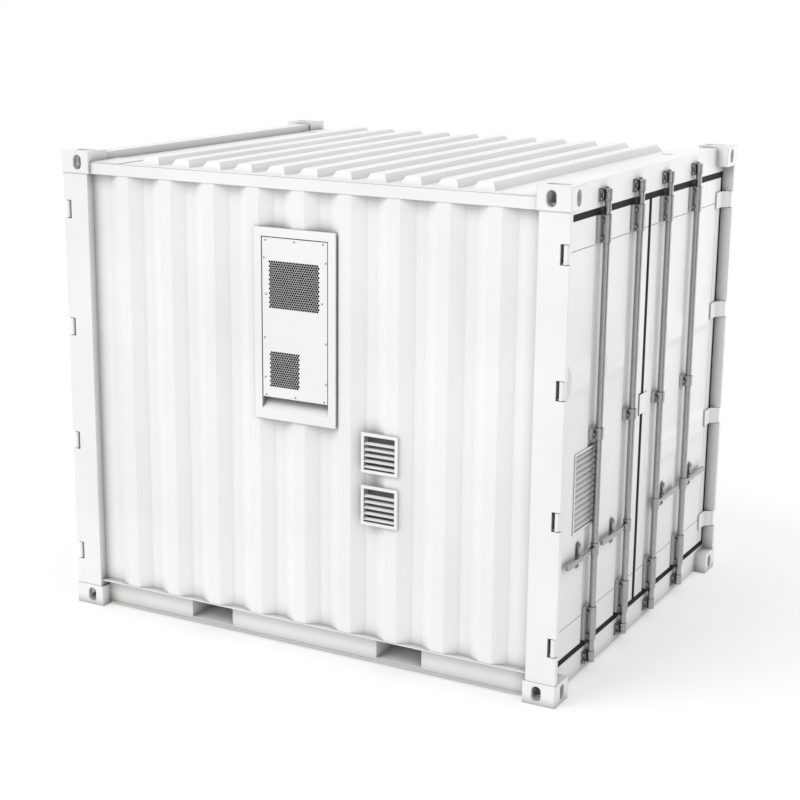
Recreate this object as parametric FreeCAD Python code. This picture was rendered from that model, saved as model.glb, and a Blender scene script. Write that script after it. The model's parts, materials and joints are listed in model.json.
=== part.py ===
import FreeCAD, Part
import math
import os

# Battery storage container. Origin at the centre of the base, on the ground plane.
# +X runs along the length, the wall with the cooling unit faces -Y, +Z is up. Millimetres.

os.makedirs("parts", exist_ok=True)
Vec = FreeCAD.Vector

# Overall size of a ten-foot container
length = 2991.0
width = 2438.0
height = 2591.0

# Corner fittings
fitting_length = 178.0
fitting_width = 162.0
fitting_height = 118.0
fitting_wall = 28.0
lift_slot_length = 124.0
lift_slot_width = 63.5
slot_from_end = 102.0
slot_from_side = 89.5
side_hole_height = 79.5
side_hole_width = 51.0

# Corner posts: an outer leg that the doors hinge on, and a deeper jamb behind the seal
post_inset = 3.0
post_plate = 6.0
post_length = 165.0
post_leg_width = 31.0
post_depth = 95.0

# Door plane and the frame round the doors
door_recess = 66.0
leaf_thickness = 50.0
jamb_gap = 2.0
header_top_gap = 14.0
header_height = 140.0
header_length = 100.0
stop_height = 47.0
base_gap = 12.5
sill_height = 127.5
leaf_frame_gap = 35.0
rail_section_wall = 6.0

# Side rails
bottom_rail_top = 157.0
bottom_rail_inset = 13.0
bottom_rail_depth = 60.0
bottom_rail_plate = 6.0
bottom_rail_lip = 12.0
bottom_rail_foot = 40.0
top_rail_inset = 14.0
top_rail_width = 60.0
top_rail_height = 60.0
top_rail_wall = 5.0

# Corrugated side walls
wall_sheet = 2.0
crest_inset = 16.0
wall_pitch_aim = 275.5
wall_end_flat = 118.5
crest_width = 70.0
slope_width = 75.0
corrugation_depth = 36.0

# Roof sheet with pressed ribs
roof_sheet = 3.0
rib_pitch_aim = 197.5
rib_from_left = 282.5
rib_from_right = 252.5
rib_base = 125.0
rib_top = 80.0
rib_height = 38.0
rib_end_slope = 24.0
rib_edge_gap = 85.0
corner_plate_length = 190.0
corner_plate_width = 240.0
corner_plate_thickness = 4.0

# Floor
deck_thickness = 28.0
crossmember_height = 110.0
crossmember_width = 45.0
crossmember_plate = 5.0
crossmember_pitch = 262.0
pocket_width = 268.0
pocket_bottom = 30.0
pocket_plate = 6.0
pocket_spacing = 1181.0
pocket_shift = -14.0

# Lining of the battery room
lining_thickness = 45.0
lining_gap = 0.4
ceiling_thickness = 30.0

# Hinges
pin_from_end = 24.0
pin_from_side = 17.0
pin_radius = 8.0
pin_clearance = 0.3
knuckle_radius = 14.0
knuckle_height = 94.0
notch_width = 50.0
notch_height = 100.0
hinge_from_bottom = 140.0
hinge_from_top = 128.0
hinge_count = 4
lug_height = 36.0
blade_thickness = 10.0
blade_reach = 84.0

# Door leaves
leaf_edge = 66.0
leaf_half_gap = 20.0
leaf_skin = 6.0
leaf_border = 50.0
leaf_rib_height = 60.0
leaf_bays = 3
channel_half_top = 80.0
channel_half_floor = 48.0
channel_depth = 12.0
band_height = 190.0
band_rise = 12.0
band_slope = 48.0
band_end_slope = 26.0
band_from_side = 174.0
band_margin = 3.0
band_from_middle = 75.0
upper_band_rise = 1443.0
lower_band_rise = 780.0
seam_width = 4.0
seam_depth = 2.5
top_seam_drop = 143.0
low_seam_rise = 155.0
edge_seam = 62.0
tongue_reach = 46.0
tongue_overlap = 62.0
tongue_rise = 1120.0
tongue_height = 110.0
tongue_thickness = 6.0
tongue_clearance = 6.0

# Door seals
seal_front = 2.0
seal_depth = 44.0
seal_frame_gap = 1.0
seal_half_gap = 3.0
seal_groove = 10.0
seal_groove_depth = 9.0

# Lock bars, guides and keepers
bar_from_end = 38.0
bar_radius = 17.0
inner_bar_margin = 194.0
guide_clearance = 1.0
guide_plate = 5.0
guide_half = 46.0
guide_seat_gap = 4.0
guide_edge_gap = 2.0
top_guide_height = 138.0
middle_guide_height = 58.0
bottom_guide_height = 178.0
cam_height = 58.0
cam_radius = 21.0
cam_plate = 12.0
cam_lobe = 27.0
keeper_plate = 6.0
keeper_half = 58.0
keeper_height = 66.0
keeper_cheek = 7.0
keeper_cheek_reach = 12.0
keeper_cheek_gap = 4.0
keeper_over_header = 61.0
keeper_under_sill = 60.0

# Handles and their catches
handle_rise = 497.0
hub_radius = 22.0
hub_height = 64.0
ear_thickness = 5.0
ear_height = 34.0
handle_thickness = 13.0
handle_side_gap = 0.5
handle_pivot = 37.0
handle_pin_radius = 6.0
handle_root_radius = 13.0
handle_neck = 18.0
handle_grip = 30.0
grip_start = 205.0
handle_between_gap = 93.0
handle_end_gap = 116.0
catch_offset = 168.0
retainer_width = 44.0
retainer_below = 60.0
retainer_above = 83.0
retainer_plate = 5.0
cradle_thickness = 6.0
cradle_half = 22.0
cradle_reach = 28.0
cradle_gap = 0.5
catch_above = 63.0
catch_pin_radius = 5.0
catch_thickness = 8.0
catch_gap = 1.0
catch_width = 32.0
catch_length = 58.0
catch_head_radius = 9.0
catch_head = 3.5

# Louvre in the front leaf of the right end
door_louvre_width = 303.0
door_louvre_height = 422.0
door_louvre_rise = 631.0
door_louvre_bar_gap = 60.0
door_louvre_slats = 13
louvre_flange = 9.0
louvre_face = 5.0
slat_thickness = 2.5
slat_width = 24.0
slat_tilt = 42.0

# Cooling unit in the front wall
ac_centre = -18.0
ac_width = 491.0
ac_height = 1010.0
ac_from_top = 198.0
ac_frame_side = 45.0
ac_frame_bottom = 52.5
ac_frame_top = 46.5
ac_frame_thickness = 11.0
ac_ledge_depth = 60.0
ac_ledge_gap = 1.0
ac_cover_gap = 62.0
ac_cover_recess = 2.0
ac_cover_thickness = 3.0
ac_cover_clearance = 5.0
ac_depth = 330.0
ac_sheet = 3.0
upper_window_edges = (-156.0, 149.5, 597.5, 834.0)
lower_window_edges = (-153.5, 21.3, 177.5, 366.0)
window_plate = 2.0
fan_radius = 105.0
fan_hub_radius = 32.0
fan_hub_length = 40.0
fan_blades = 5
fan_blade_width = 62.0
fan_blade_thickness = 3.0
fan_blade_tilt = 32.0
fan_from_cover = 62.0
fan_shaft_radius = 6.0
motor_radius = 45.0
motor_length = 70.0
motor_gap = 1.0
coil_width = 340.0
coil_height = 360.0
coil_depth = 50.0
coil_fins = 12
coil_fin_depth = 8.0
ac_flange = 25.0
compressor_radius = 75.0
compressor_height = 210.0

# Louvres in the front wall
louvre_left = 379.0
louvre_width = 213.0
louvre_height = 212.0
upper_louvre_bottom = 1058.0
lower_louvre_bottom = 779.0
louvre_border = 17.0
louvre_front = 4.0
wall_louvre_slats = 5
wall_slat_width = 17.0
wall_slat_head = 24.0

# Battery racks, modules and cabinets
rack_count = 4
rack_end_gap = 179.5
rack_depth = 600.0
rack_headroom = 244.0
rack_gap = 20.0
rack_post = 40.0
rack_shelf = 4.0
module_rows = 7
module_front_gap = 12.0
module_side_gap = 6.0
module_head_gap = 20.5
module_handle = 100.0
inverter_left = 330.0
inverter_width = 620.0
inverter_depth = 480.0
inverter_height = 1700.0
board_end_gap = 209.5
board_depth = 320.0
board_bottom = 700.0
board_height = 1150.0
cabinet_door = 18.0
bottle_x = -390.0
bottle_radius = 80.0
bottle_height = 820.0
bottle_neck = 90.0
bottle_gap = 90.0
pipe_radius = 14.0
nozzle_radius = 28.0
nozzle_height = 40.0

half_length = length / 2
half_width = width / 2
post_bottom = fitting_height
post_top = height - fitting_height
header_top = height - header_top_gap
header_bottom = header_top - header_height
sill_top = base_gap + sill_height
leaf_bottom = sill_top + leaf_frame_gap
leaf_top = header_bottom - leaf_frame_gap
leaf_height = leaf_top - leaf_bottom
leaf_width = half_width - leaf_edge - leaf_half_gap
leaf_back = door_recess + leaf_thickness
jamb_face = leaf_back + jamb_gap
frame_back = door_recess + header_length
roof_level = post_top + top_rail_height
trough_inset = crest_inset + corrugation_depth
wall_back = trough_inset + wall_sheet
lining_outer = wall_back + lining_gap
lining_inner = lining_outer + lining_thickness
rail_web_inset = bottom_rail_inset + bottom_rail_depth
deck_bottom = bottom_rail_top - bottom_rail_plate
deck_top = deck_bottom + deck_thickness
ceiling_bottom = roof_level - ceiling_thickness
room_end = half_length - frame_back
channel_floor = door_recess + channel_depth
guide_seat = bar_from_end + bar_radius + guide_seat_gap
handle_length = (leaf_width - inner_bar_margin - handle_between_gap - handle_end_gap) / 2
inner_bar_y = leaf_half_gap + inner_bar_margin
outer_bar_y = inner_bar_y + handle_length + handle_between_gap
bar_ys = (inner_bar_y, outer_bar_y)
top_keeper_z = header_bottom + keeper_over_header
bottom_keeper_z = sill_top - keeper_under_sill
bar_bottom = bottom_keeper_z - cam_height / 2
bar_top = top_keeper_z + cam_height / 2
leaf_middle = (leaf_bottom + leaf_top) / 2
guide_spans = ((leaf_bottom + guide_edge_gap, leaf_bottom + guide_edge_gap + bottom_guide_height),
               (leaf_middle - middle_guide_height / 2, leaf_middle + middle_guide_height / 2),
               (leaf_top - guide_edge_gap - top_guide_height, leaf_top - guide_edge_gap))
handle_z = leaf_bottom + handle_rise
catch_pivot_z = handle_z + catch_above
tongue_z = leaf_bottom + tongue_rise
door_louvre_right = door_louvre_bar_gap - outer_bar_y
door_louvre_left = door_louvre_right - door_louvre_width
door_louvre_bottom = leaf_bottom + door_louvre_rise
door_louvre_top = door_louvre_bottom + door_louvre_height
hinge_pitch = (leaf_height - hinge_from_bottom - hinge_from_top) / (hinge_count - 1)
hinge_levels = [leaf_bottom + hinge_from_bottom + hinge_pitch * i for i in range(hinge_count)]
ac_top = post_top - ac_from_top
ac_bottom = ac_top - ac_height
ac_left = ac_centre - ac_width / 2 + ac_frame_side
ac_right = ac_centre + ac_width / 2 - ac_frame_side
rack_width = (2 * (room_end - rack_end_gap) - (rack_count - 1) * rack_gap) / rack_count
rack_height = ceiling_bottom - deck_top - rack_headroom
module_pitch = (rack_height - rack_shelf) / module_rows
module_height = module_pitch - rack_shelf - module_head_gap
board_left = board_end_gap - room_end
board_width = bottle_x - bottle_radius - bottle_gap - board_left


def box(x0, x1, y0, y1, z0, z1):
    return Part.makeBox(x1 - x0, y1 - y0, z1 - z0, Vec(x0, y0, z0))


def rod(radius, start, direction, span):
    return Part.makeCylinder(radius, span, Vec(*start), Vec(*direction))


def outline(points):
    return Part.makePolygon([Vec(*p) for p in points] + [Vec(*points[0])])


def prism(points, sweep):
    return Part.Face(outline(points)).extrude(Vec(*sweep))


def joined(shapes):
    first = shapes[0]
    return first.multiFuse(shapes[1:]).removeSplitter() if len(shapes) > 1 else first


def placed(shape, x_side, y_side):
    # Moves a piece made for the right front corner to any of the four corners.
    result = shape
    if y_side > 0:
        result = result.mirror(Vec(0, 0, 0), Vec(0, 1, 0))
    if x_side < 0:
        result = result.mirror(Vec(0, 0, 0), Vec(1, 0, 0))
    return result


def end_box(u0, u1, y0, y1, z0, z1):
    # A box at the right end, where u is the distance in from the end plane.
    return box(half_length - u1, half_length - u0, y0, y1, z0, z1)


def corner_box(u0, u1, v0, v1, z0, z1):
    # A box at the right front corner, where v is the distance in from the front plane.
    return end_box(u0, u1, v0 - half_width, v1 - half_width, z0, z1)


def corner_prism(points, z0, z1):
    flat = [(half_length - u, v - half_width, z0) for u, v in points]
    return prism(flat, (0, 0, z1 - z0))


def end_rod(radius, u, y, z0, z1):
    return rod(radius, (half_length - u, y, z0), (0, 0, 1), z1 - z0)


def slot_tool(long_size, short_size, depth):
    # A round-ended slot through +Z, its long way along X.
    radius = short_size / 2
    reach = long_size / 2 - radius
    body = Part.makeBox(2 * reach, short_size, depth, Vec(-reach, -radius, 0))
    ends = [rod(radius, (side * reach, 0, 0), (0, 0, 1), depth) for side in (-1, 1)]
    return body.fuse(ends[0]).fuse(ends[1]).removeSplitter()


def turned(shape, axis, angle, place):
    result = shape.copy()
    result.rotate(Vec(0, 0, 0), Vec(*axis), angle)
    result.translate(Vec(*place))
    return result


def save(name, solids):
    shapes = solids if isinstance(solids, list) else [solids]
    flat = [solid for shape in shapes for solid in shape.Solids]
    result = flat[0] if len(flat) == 1 else Part.makeCompound(flat)
    result.exportStep("parts/" + name + ".step")


def corner_fitting(on_top):
    wall = fitting_wall
    block = corner_box(0, fitting_length, 0, fitting_width, 0, fitting_height)
    block = block.cut(
        corner_box(wall, fitting_length - wall, wall, fitting_width - wall,
                   wall, fitting_height - wall))
    x_slot = half_length - slot_from_end
    y_slot = slot_from_side - half_width
    z_slot = fitting_height - wall - 1 if on_top else -1
    lift_slot = slot_tool(lift_slot_length, lift_slot_width, wall + 2)
    block = block.cut(turned(lift_slot, (0, 0, 1), 0, (x_slot, y_slot, z_slot)))
    hole = turned(slot_tool(side_hole_height, side_hole_width, wall + 2),
                  (0, 1, 0), 90, (0, 0, 0))
    middle = fitting_height / 2
    block = block.cut(turned(hole, (0, 0, 1), 0, (half_length - wall - 1, y_slot, middle)))
    block = block.cut(turned(hole, (0, 0, 1), 90, (x_slot, -half_width - 1, middle)))
    if on_top:
        block.translate(Vec(0, 0, height - fitting_height))
    return block


def corner_fittings():
    return [placed(corner_fitting(on_top), x_side, y_side)
            for on_top in (False, True) for x_side in (-1, 1) for y_side in (-1, 1)]


def corner_post():
    inset = post_inset
    plate = post_plate
    leg = post_leg_width
    outer = [(inset, inset), (post_length, inset), (post_length, post_depth),
             (jamb_face, post_depth), (jamb_face, leg), (inset, leg)]
    inner = [(inset + plate, inset + plate), (post_length - plate, inset + plate),
             (post_length - plate, post_depth - plate), (jamb_face + plate, post_depth - plate),
             (jamb_face + plate, leg - plate), (inset + plate, leg - plate)]
    post = corner_prism(outer, post_bottom, post_top)
    post = post.cut(corner_prism(inner, post_bottom, post_top))
    lugs = []
    for level in hinge_levels:
        low = level - notch_height / 2
        high = level + notch_height / 2
        post = post.cut(corner_box(0, notch_width, 0, leg + 1, low, high))
        for z0, z1 in ((low - lug_height, low), (high, high + lug_height)):
            lugs.append(corner_box(inset + plate, notch_width, inset + plate, leg - plate, z0, z1))
    post = joined([post] + lugs)
    for level in hinge_levels:
        span = notch_height / 2 + lug_height
        post = post.cut(end_rod(pin_radius, pin_from_end, pin_from_side - half_width,
                                level - span, level + span))
    return post


def hinge_pin(level):
    span = notch_height / 2 + lug_height
    return end_rod(pin_radius, pin_from_end, pin_from_side - half_width,
                   level - span, level + span)


def stepped_beam(low, high, stop_low, stop_high, face_low, face_high):
    # The box beam over or under the doors, its stop behind the seal, and its two ends
    # that run on between the door posts, where the corner fitting leaves room.
    wall = rail_section_wall
    reach = half_width - fitting_width
    side = half_width - post_leg_width
    jamb = half_width - post_depth

    def solid(shrink):
        parts = [end_box(door_recess + shrink, frame_back - shrink, -reach, reach,
                         low + shrink, high - shrink),
                 end_box(jamb_face + shrink, frame_back - shrink, -jamb, jamb,
                         stop_low + shrink, stop_high - shrink)]
        return joined(parts)

    beam = solid(0).cut(solid(wall))
    ears = [end_box(door_recess, jamb_face, y0, y1, face_low, face_high)
            for y0, y1 in ((-side, -reach), (reach, side))]
    return joined([beam] + ears)


def door_header():
    return stepped_beam(header_bottom, header_top, header_bottom - stop_height, post_top,
                        header_bottom, post_top)


def door_sill():
    return stepped_beam(base_gap, sill_top, post_bottom, deck_top, post_bottom, sill_top)


def bottom_side_rail():
    # A web set back under a wide top flange, on a foot that turns inwards.
    plate = bottom_rail_plate
    outer = bottom_rail_inset
    web = rail_web_inset
    lip = web - plate - bottom_rail_lip
    foot = web + bottom_rail_foot
    reach = half_length - fitting_length
    low = base_gap
    high = bottom_rail_top
    points = [(outer, high), (web, high), (web, low + plate), (foot, low + plate), (foot, low),
              (lip, low), (lip, low + plate), (web - plate, low + plate),
              (web - plate, high - plate), (outer, high - plate)]
    rail = prism([(-reach, v - half_width, z) for v, z in points], (2 * reach, 0, 0))
    end_reach = half_length - post_length
    shelf = [box(min(a, b), max(a, b), outer - half_width, web - half_width, high - plate, high)
             for a, b in ((reach, end_reach), (-reach, -end_reach))]
    rail = joined([rail] + shelf)
    for centre in pocket_centres():
        half = pocket_width / 2 + pocket_plate
        rail = rail.cut(box(centre - half, centre + half, web - plate - 1 - half_width,
                            web + 1 - half_width, pocket_bottom - pocket_plate,
                            deck_bottom))
    return rail


def pocket_centres():
    return [pocket_shift + side * pocket_spacing / 2 for side in (-1, 1)]


def forklift_pocket(centre):
    # A box tunnel through the floor, its ends flush with the webs of both side rails.
    half = pocket_width / 2
    plate = pocket_plate
    reach = half_width - rail_web_inset + bottom_rail_plate
    low = pocket_bottom - plate
    tunnel = box(centre - half - plate, centre + half + plate, -reach, reach,
                 low, deck_bottom)
    return tunnel.cut(box(centre - half, centre + half, -reach, reach,
                          pocket_bottom, deck_bottom - plate))


def top_side_rail():
    reach = half_length - fitting_length
    outer = top_rail_inset - half_width
    inner = outer + top_rail_width
    wall = top_rail_wall
    tube = box(-reach, reach, outer, inner, post_top, roof_level)
    return tube.cut(box(-reach, reach, outer + wall, inner - wall,
                        post_top + wall, roof_level - wall))


def wall_line(inset):
    # The corrugated line from post to post: outer crests, inner troughs.
    half_crest = crest_width / 2
    end = half_length - post_length
    deep = inset + corrugation_depth
    first = end - wall_end_flat - slope_width - half_crest
    pitches = round(2 * first / wall_pitch_aim)
    points = [(-end, deep)]
    for i in range(pitches + 1):
        centre = 2 * first * i / pitches - first
        points += [(centre - half_crest - slope_width, deep), (centre - half_crest, inset),
                   (centre + half_crest, inset), (centre + half_crest + slope_width, deep)]
    return points + [(end, deep)]


def side_wall():
    front = wall_line(crest_inset)
    back = [(x, v + wall_sheet) for x, v in reversed(front)]
    points = [(x, v - half_width, bottom_rail_top) for x, v in front + back]
    return prism(points, (0, 0, post_top - bottom_rail_top))


def ac_opening(y0, y1):
    return box(ac_left, ac_right, y0, y1, ac_bottom + ac_frame_bottom, ac_top - ac_frame_top)


def louvre_opening(bottom, y0, y1):
    inner = louvre_border - louvre_face
    return box(louvre_left + inner, louvre_left + louvre_width - inner, y0, y1,
               bottom + inner, bottom + louvre_height - inner)


def cut_front_openings(panel):
    y0 = -half_width
    y1 = lining_inner + 1 - half_width
    panel = panel.cut(ac_opening(y0, y1))
    for bottom in (upper_louvre_bottom, lower_louvre_bottom):
        panel = panel.cut(louvre_opening(bottom, y0, y1))
    return panel


def side_walls():
    wall = side_wall()
    return [cut_front_openings(wall), placed(wall, 1, 1)]


def wall_lining():
    outer = lining_outer - half_width
    inner = lining_inner - half_width
    wall = box(-room_end, room_end, outer, inner, deck_top, post_top)
    ceiling_end = half_length - fitting_length
    ceiling_edge = half_width - top_rail_inset - top_rail_width
    ceiling = box(-ceiling_end, ceiling_end, -ceiling_edge, ceiling_edge,
                  ceiling_bottom, roof_level)
    return [cut_front_openings(wall), placed(wall, 1, 1), ceiling]


def roof_rib(centre, level):
    reach = half_width - rib_edge_gap
    low = [(centre - rib_base / 2, -reach), (centre + rib_base / 2, -reach),
           (centre + rib_base / 2, reach), (centre - rib_base / 2, reach)]
    end = reach - rib_end_slope
    high = [(centre - rib_top / 2, -end), (centre + rib_top / 2, -end),
            (centre + rib_top / 2, end), (centre - rib_top / 2, end)]
    lower = outline([(x, y, level) for x, y in low])
    upper = outline([(x, y, level + rib_height) for x, y in high])
    return Part.makeLoft([lower, upper], True, True)


def roof_panel():
    # The sheet runs over both rails between the fittings, and on to the headers.
    edge = half_width - top_rail_inset - top_rail_wall
    between = half_length - fitting_length
    header_reach = half_width - fitting_width
    first = rib_from_left + rib_base / 2 - between
    last = between - rib_from_right - rib_base / 2
    pitches = round((last - first) / rib_pitch_aim)
    low = roof_level
    high = roof_level + roof_sheet
    shapes = [box(-between, between, -edge, edge, low, high),
              box(-room_end, room_end, -header_reach, header_reach, low, high)]
    shapes += [roof_rib(first + (last - first) * i / pitches, high) for i in range(pitches + 1)]
    plate = box(between - corner_plate_length, between, -edge, corner_plate_width - edge,
                high, high + corner_plate_thickness)
    shapes += [placed(plate, x_side, y_side) for x_side in (-1, 1) for y_side in (-1, 1)]
    return joined(shapes)


def crossmember(x):
    edge = half_width - rail_web_inset
    plate = crossmember_plate
    low = deck_bottom - crossmember_height
    points = [(0, low), (crossmember_width, low), (crossmember_width, low + plate),
              (plate, low + plate), (plate, deck_bottom - plate),
              (crossmember_width, deck_bottom - plate), (crossmember_width, deck_bottom),
              (0, deck_bottom)]
    return prism([(x + across, -edge, z) for across, z in points], (0, 2 * edge, 0))


def crossmembers():
    # Even spacing along the floor, left out where a fork pocket takes the load.
    reach = room_end - crossmember_width
    count = int(2 * reach // crossmember_pitch)
    pitch = (2 * reach - crossmember_width) / count
    beams = []
    for i in range(count + 1):
        x = -reach + i * pitch
        room = pocket_width / 2 + pocket_plate + crossmember_width
        if all(abs(x - centre) > room for centre in pocket_centres()):
            beams.append(crossmember(x))
    return beams


def floor_deck():
    edge = half_width - rail_web_inset
    return box(-room_end, room_end, -edge, edge, deck_bottom, deck_top)


def hinge_blade(level):
    # Knuckle round the pin, a cranked arm out of the post, and a flat on the leaf.
    u = pin_from_end
    v = pin_from_side
    r = knuckle_radius
    root = door_recess - blade_thickness
    end = leaf_edge + blade_reach
    arm = [(u - 3, v + r - 1), (root, leaf_edge - 6), (root, end), (door_recess, end),
           (door_recess, leaf_edge - 8), (u + r - 3, v)]
    low = level - knuckle_height / 2
    high = level + knuckle_height / 2
    blade = corner_prism(arm, low, high)
    blade = blade.fuse(end_rod(r, u, v - half_width, low, high)).removeSplitter()
    return blade.cut(end_rod(pin_radius + pin_clearance, u, v - half_width, low, high))


def raised_band(y0, y1, middle):
    z0 = middle - band_height / 2
    z1 = middle + band_height / 2
    base = outline([(half_length - door_recess, y, z)
                    for y, z in ((y0, z0), (y1, z0), (y1, z1), (y0, z1))])
    a = y0 + band_end_slope
    b = y1 - band_end_slope
    c = z0 + band_slope
    d = z1 - band_slope
    face = outline([(half_length - door_recess + band_rise, y, z)
                    for y, z in ((a, c), (b, c), (b, d), (a, d))])
    return Part.makeLoft([base, face], True, True)


def leaf_profile():
    outer = leaf_edge - half_width
    points = [(outer, door_recess)]
    for y in (-outer_bar_y, -inner_bar_y):
        points += [(y - channel_half_top, door_recess), (y - channel_half_floor, channel_floor),
                   (y + channel_half_floor, channel_floor), (y + channel_half_top, door_recess)]
    return points + [(-leaf_half_gap, door_recess), (-leaf_half_gap, leaf_back),
                     (outer, leaf_back)]


def leaf_pockets():
    back = channel_floor + leaf_skin
    low = leaf_bottom + leaf_border
    bay = (leaf_height - 2 * leaf_border - (leaf_bays - 1) * leaf_rib_height) / leaf_bays
    for i in range(leaf_bays):
        z0 = low + i * (bay + leaf_rib_height)
        yield end_box(back, leaf_back, leaf_edge + leaf_border - half_width,
                      -leaf_half_gap - leaf_border, z0, z0 + bay)


def centre_notch(grow):
    # Space for the other leaf's tongue, clear all the way through this leaf.
    reach = tongue_reach + grow
    half = tongue_height / 2 + grow
    return end_box(0, leaf_back + jamb_gap, -reach, 0, tongue_z - half, tongue_z + half)


def tongue():
    half = tongue_height / 2
    return end_box(door_recess - tongue_thickness, door_recess,
                   -tongue_overlap, tongue_reach, tongue_z - half, tongue_z + half)


def door_leaf(has_tongue, has_louvre):
    slab = prism([(half_length - u, y, leaf_bottom) for y, u in leaf_profile()],
                 (0, 0, leaf_height))
    for pocket in leaf_pockets():
        slab = slab.cut(pocket)
    for z in (leaf_bottom + low_seam_rise, leaf_top - top_seam_drop):
        slab = slab.cut(end_box(door_recess - 1, door_recess + seam_depth,
                                -half_width, 0, z - seam_width / 2, z + seam_width / 2))
    seam_y = leaf_edge + edge_seam - half_width
    slab = slab.cut(end_box(door_recess - 1, door_recess + seam_depth,
                            seam_y - seam_width, seam_y, leaf_bottom, leaf_top))
    clear = channel_half_top + band_margin
    spans = [(band_from_side - half_width, -outer_bar_y - clear),
             (-outer_bar_y + clear, -inner_bar_y - clear),
             (-inner_bar_y + clear, -band_from_middle)]
    bands = [raised_band(y0, y1, leaf_bottom + upper_band_rise) for y0, y1 in spans]
    if not has_louvre:
        bands += [raised_band(y0, y1, leaf_bottom + lower_band_rise) for y0, y1 in spans]
    pads = [end_box(guide_seat, channel_floor, -y - guide_half, guide_half - y, z0, z1)
            for y in bar_ys for z0, z1 in guide_spans]
    pieces = [slab] + bands + pads
    if has_tongue:
        pieces.append(tongue())
    leaf = joined(pieces)
    if not has_tongue:
        leaf = leaf.cut(centre_notch(tongue_clearance))
    if has_louvre:
        leaf = leaf.cut(door_louvre_hole())
    return [leaf] + [hinge_blade(level) for level in hinge_levels]


def door_seal(has_tongue):
    front = door_recess + seal_front
    back = front + seal_depth
    outer = (post_leg_width + seal_frame_gap - half_width, -seal_half_gap,
             sill_top + seal_frame_gap, header_bottom - seal_frame_gap)
    inner = (leaf_edge - half_width, -leaf_half_gap, leaf_bottom, leaf_top)
    ring = end_box(front, back, *outer)
    groove = end_box(front + seal_groove, back - seal_groove, *outer)
    d = seal_groove_depth
    groove = groove.cut(end_box(front, back, outer[0] + d, outer[1] - d,
                                outer[2] + d, outer[3] - d))
    ring = ring.cut(groove).cut(end_box(front, back, *inner))
    return ring if has_tongue else ring.cut(centre_notch(tongue_clearance))


def door_louvre_hole():
    f = louvre_flange
    return end_box(door_recess - 1, leaf_back + 1, door_louvre_left + f,
                   door_louvre_right - f, door_louvre_bottom + f, door_louvre_top - f)


def slat(span, across):
    # A sloping blade along +X, its lower edge outwards towards -Y.
    blade = Part.makeBox(span, across, slat_thickness, Vec(0, 0, 0))
    blade.rotate(Vec(0, 0, 0), Vec(1, 0, 0), slat_tilt)
    return blade


def door_louvre():
    face = door_recess - louvre_face
    f = louvre_flange
    depth = channel_floor + leaf_skin
    outer = (door_louvre_left, door_louvre_right, door_louvre_bottom, door_louvre_top)
    inner = (outer[0] + f, outer[1] - f, outer[2] + f, outer[3] - f)
    wall = (inner[0] + slat_thickness, inner[1] - slat_thickness,
            inner[2] + slat_thickness, inner[3] - slat_thickness)
    frame = end_box(face, door_recess, *outer).fuse(end_box(face, depth, *inner))
    frame = frame.removeSplitter().cut(end_box(face, depth, *wall))
    pitch = (wall[3] - wall[2]) / door_louvre_slats
    rise = slat_width * math.sin(math.radians(slat_tilt))
    solids = [frame]
    for i in range(door_louvre_slats):
        blade = slat(wall[1] - wall[0], slat_width)
        low = wall[2] + i * pitch + (pitch - rise) / 2
        blade = turned(blade, (0, 0, 1), 90, (half_length - face - 1, wall[0], low))
        solids.append(blade.common(end_box(face, depth, *wall)))
    return solids


def bar_guide(y, z0, z1):
    # A strap bent round the bar, its two feet on the pad in the channel.
    inner = bar_radius + guide_clearance
    outer = inner + guide_plate
    seat = guide_seat
    strap = end_rod(outer, bar_from_end, y, z0, z1)
    strap = strap.fuse(end_box(bar_from_end, seat, y - outer, y + outer, z0, z1))
    strap = strap.fuse(end_box(seat - guide_plate, seat, y - guide_half, y + guide_half, z0, z1))
    strap = strap.cut(end_rod(inner, bar_from_end, y, z0, z1))
    strap = strap.cut(end_box(bar_from_end, leaf_back, y - inner, y + inner, z0, z1))
    strap = strap.cut(end_box(seat, leaf_back, y - outer, y + outer, z0, z1))
    return strap.removeSplitter()


def retainer(y):
    # Oval plate on the leaf with the cradle under the handle and the catch's pin.
    centre = y - catch_offset
    middle = handle_z + (retainer_above - retainer_below) / 2
    span = retainer_above + retainer_below
    plate = slot_tool(span, retainer_width, retainer_plate)
    plate = turned(plate, (0, 1, 0), 90, (half_length - door_recess, centre, middle))
    shelf_top = handle_z - handle_neck / 2 - cradle_gap
    front = door_recess - retainer_plate
    shelf = end_box(front - cradle_reach, front, centre - cradle_half, centre + cradle_half,
                    shelf_top - cradle_thickness, shelf_top)
    pin_end = front - catch_thickness - 2 * catch_gap
    pin = rod(catch_pin_radius, (half_length - front, centre, catch_pivot_z), (1, 0, 0),
              front - pin_end)
    head = rod(catch_head_radius, (half_length - pin_end, centre, catch_pivot_z), (1, 0, 0),
               catch_head)
    return joined([plate, shelf, pin, head])


def door_fittings():
    solids = []
    for bar_y in bar_ys:
        for z0, z1 in guide_spans:
            solids.append(bar_guide(-bar_y, z0, z1))
        solids.append(retainer(-bar_y))
    return solids


def cam(y, middle):
    # A collar that closes the bar's end, with two lobes that turn out with the handle.
    half = cam_height / 2
    collar = end_rod(cam_radius, bar_from_end, y, middle - half, middle + half)
    lobes = []
    for z0 in (middle - half, middle + half - cam_plate):
        nose = end_rod(cam_radius / 2, bar_from_end, y - cam_lobe + cam_radius / 2,
                       z0, z0 + cam_plate)
        web = end_box(bar_from_end - cam_radius / 2, bar_from_end + cam_radius / 2,
                      y - cam_lobe + cam_radius / 2, y, z0, z0 + cam_plate)
        lobes += [nose, web]
    return [collar] + lobes


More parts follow.
